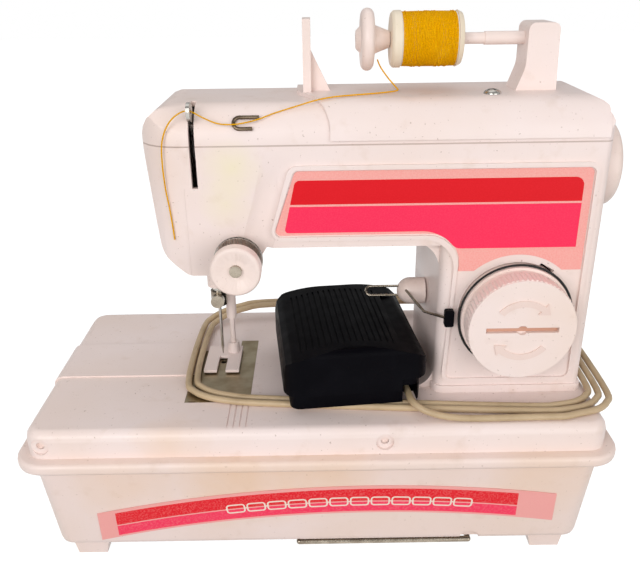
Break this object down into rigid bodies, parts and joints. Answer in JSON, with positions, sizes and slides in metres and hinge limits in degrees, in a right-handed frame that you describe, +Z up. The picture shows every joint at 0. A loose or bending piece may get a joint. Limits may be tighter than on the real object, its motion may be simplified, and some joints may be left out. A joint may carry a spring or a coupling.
{
  "type": "toy sewing machine",
  "caption": "Toy sewing machine on a tub base with needle drive, presser foot, thread reel, battery cap in the pillar, foot pedal and its cord laid on the deck.",
  "frame": {"origin": "centre of the machine's box at the soles of the feet", "axes": "+X from the head to the hand wheel, +Y from the front to the back, +Z up"},
  "size_m": [0.2953, 0.144, 0.2648],
  "materials": {
    "shell": "gloss",
    "steel": "satin",
    "bronze_wire": "satin",
    "label": "satin",
    "brass": "satin",
    "gear": "satin",
    "belt": "matte",
    "reel": "satin",
    "yarn": "matte",
    "cell": "satin",
    "black": "satin",
    "cord": "satin"
  },
  "bodies": {
    "machine": {"base_tub": "shell", "base_deck": "shell", "base_screws": "steel", "needle_plate": "steel", "arm_body": "shell", "arm_lid": "shell", "face_cover": "shell", "top_cover": "shell", "cover_screw": "steel", "front_label": "label", "base_label": "label", "shaft_bushes": "brass", "motor": "steel", "drive_belt": "belt", "head_bracket": "steel", "presser_spring": "steel", "tension_stud": "steel", "tension_discs": "steel", "tension_spring": "steel", "thread_guide": "bronze_wire", "spool_pin": "shell", "thread": "yarn", "battery_cells": "cell", "battery_contacts": "brass", "pedal_base": "black", "pedal_pin": "steel", "pedal_spring": "steel", "pedal_contacts": "brass", "cord_gland": "black", "pedal_lead": "cord", "cord_coil": "cord"},
    "drive": {"main_shaft": "steel", "hand_wheel": "shell", "crank_disc": "steel", "drive_gear": "gear"},
    "rotor": {"motor_pinion": "gear"},
    "lower": {"lower_shaft": "steel", "lower_pulley": "gear", "looper": "steel"},
    "needle_set": {"needle_bar": "steel", "needle_yoke": "steel", "take_up_arm": "steel", "needle_clamp": "steel", "clamp_screw": "steel", "needle": "steel"},
    "feed": {"feed_dog": "steel"},
    "presser": {"presser_bar": "shell", "presser_foot": "shell"},
    "lifter": {"presser_lever": "shell"},
    "tension": {"tension_knob": "shell"},
    "reel": {"spool": "reel", "spool_thread": "yarn"},
    "reel_cap": {"spool_cap": "shell"},
    "battery_door": {"battery_cap": "shell", "cap_contact": "brass"},
    "stop_lever": {"lever_hub": "shell", "lever_wire": "steel", "lever_shoe": "black"},
    "bail": {"carry_bail": "steel"},
    "treadle": {"pedal_treadle": "black"}
  },
  "joints": [
    {"name": "wheel_turn", "type": "hinge", "parent": "machine", "child": "drive", "pos_m": [0.1, 0, 0.192], "axis": [1, 0, 0], "continuous": true},
    {"name": "motor_turn", "type": "hinge", "parent": "machine", "child": "rotor", "pos_m": [0.111, 0, 0.167], "axis": [1, 0, 0], "continuous": true},
    {"name": "lower_turn", "type": "hinge", "parent": "machine", "child": "lower", "pos_m": [0.1, 0, 0.056], "axis": [1, 0, 0], "continuous": true},
    {"name": "needle_stroke", "type": "slide", "parent": "machine", "child": "needle_set", "axis": [0, 0, 1], "range_m": [-0.028, 0], "deforming": ["thread"]},
    {"name": "feed_slide", "type": "slide", "parent": "machine", "child": "feed", "axis": [0, 1, 0], "range_m": [-0.002, 0.002]},
    {"name": "lift_turn", "type": "hinge", "parent": "machine", "child": "lifter", "pos_m": [-0.046, 0.024, 0.1545], "axis": [0, -1, 0], "range_deg": [0, 90]},
    {"name": "presser_lift", "type": "slide", "parent": "machine", "child": "presser", "axis": [0, 0, 1], "range_m": [0, 0.006], "deforming": ["presser_spring"]},
    {"name": "tension_turn", "type": "hinge", "parent": "machine", "child": "tension", "pos_m": [-0.035, -0.05, 0.158], "axis": [0, 1, 0], "range_deg": [-170, 170]},
    {"name": "reel_turn", "type": "hinge", "parent": "machine", "child": "reel", "pos_m": [0.0527, 0, 0.251], "axis": [1, 0, 0], "continuous": true},
    {"name": "reel_cap_pull", "type": "slide", "parent": "machine", "child": "reel_cap", "axis": [1, 0, 0], "range_m": [-0.015, 0]},
    {"name": "battery_turn", "type": "hinge", "parent": "machine", "child": "battery_door", "pos_m": [0.0965, -0.04, 0.126], "axis": [0, -1, 0], "range_deg": [0, 60]},
    {"name": "lever_turn", "type": "hinge", "parent": "machine", "child": "stop_lever", "pos_m": [0.055, 0, 0.124], "axis": [1, 0, 0], "range_deg": [-8, 8]},
    {"name": "bail_swing", "type": "hinge", "parent": "machine", "child": "bail", "pos_m": [0.034, -0.018, 0.0071], "axis": [1, 0, 0], "range_deg": [0, 110]},
    {"name": "treadle_press", "type": "hinge", "parent": "machine", "child": "treadle", "pos_m": [0.01233, 0.01777, 0.0954], "axis": [0.9945, 0.1045, 0], "range_deg": [0, 4], "stiffness_Nm_per_rad": 3, "deforming": ["pedal_spring"]}
  ],
  "couplings": [
    {"joint": "motor_turn", "follows": "wheel_turn", "ratio": -4},
    {"joint": "lower_turn", "follows": "wheel_turn", "ratio": 1},
    {"joint": "lift_turn", "follows": "presser_lift", "rad_per_m": 261.8}
  ]
}
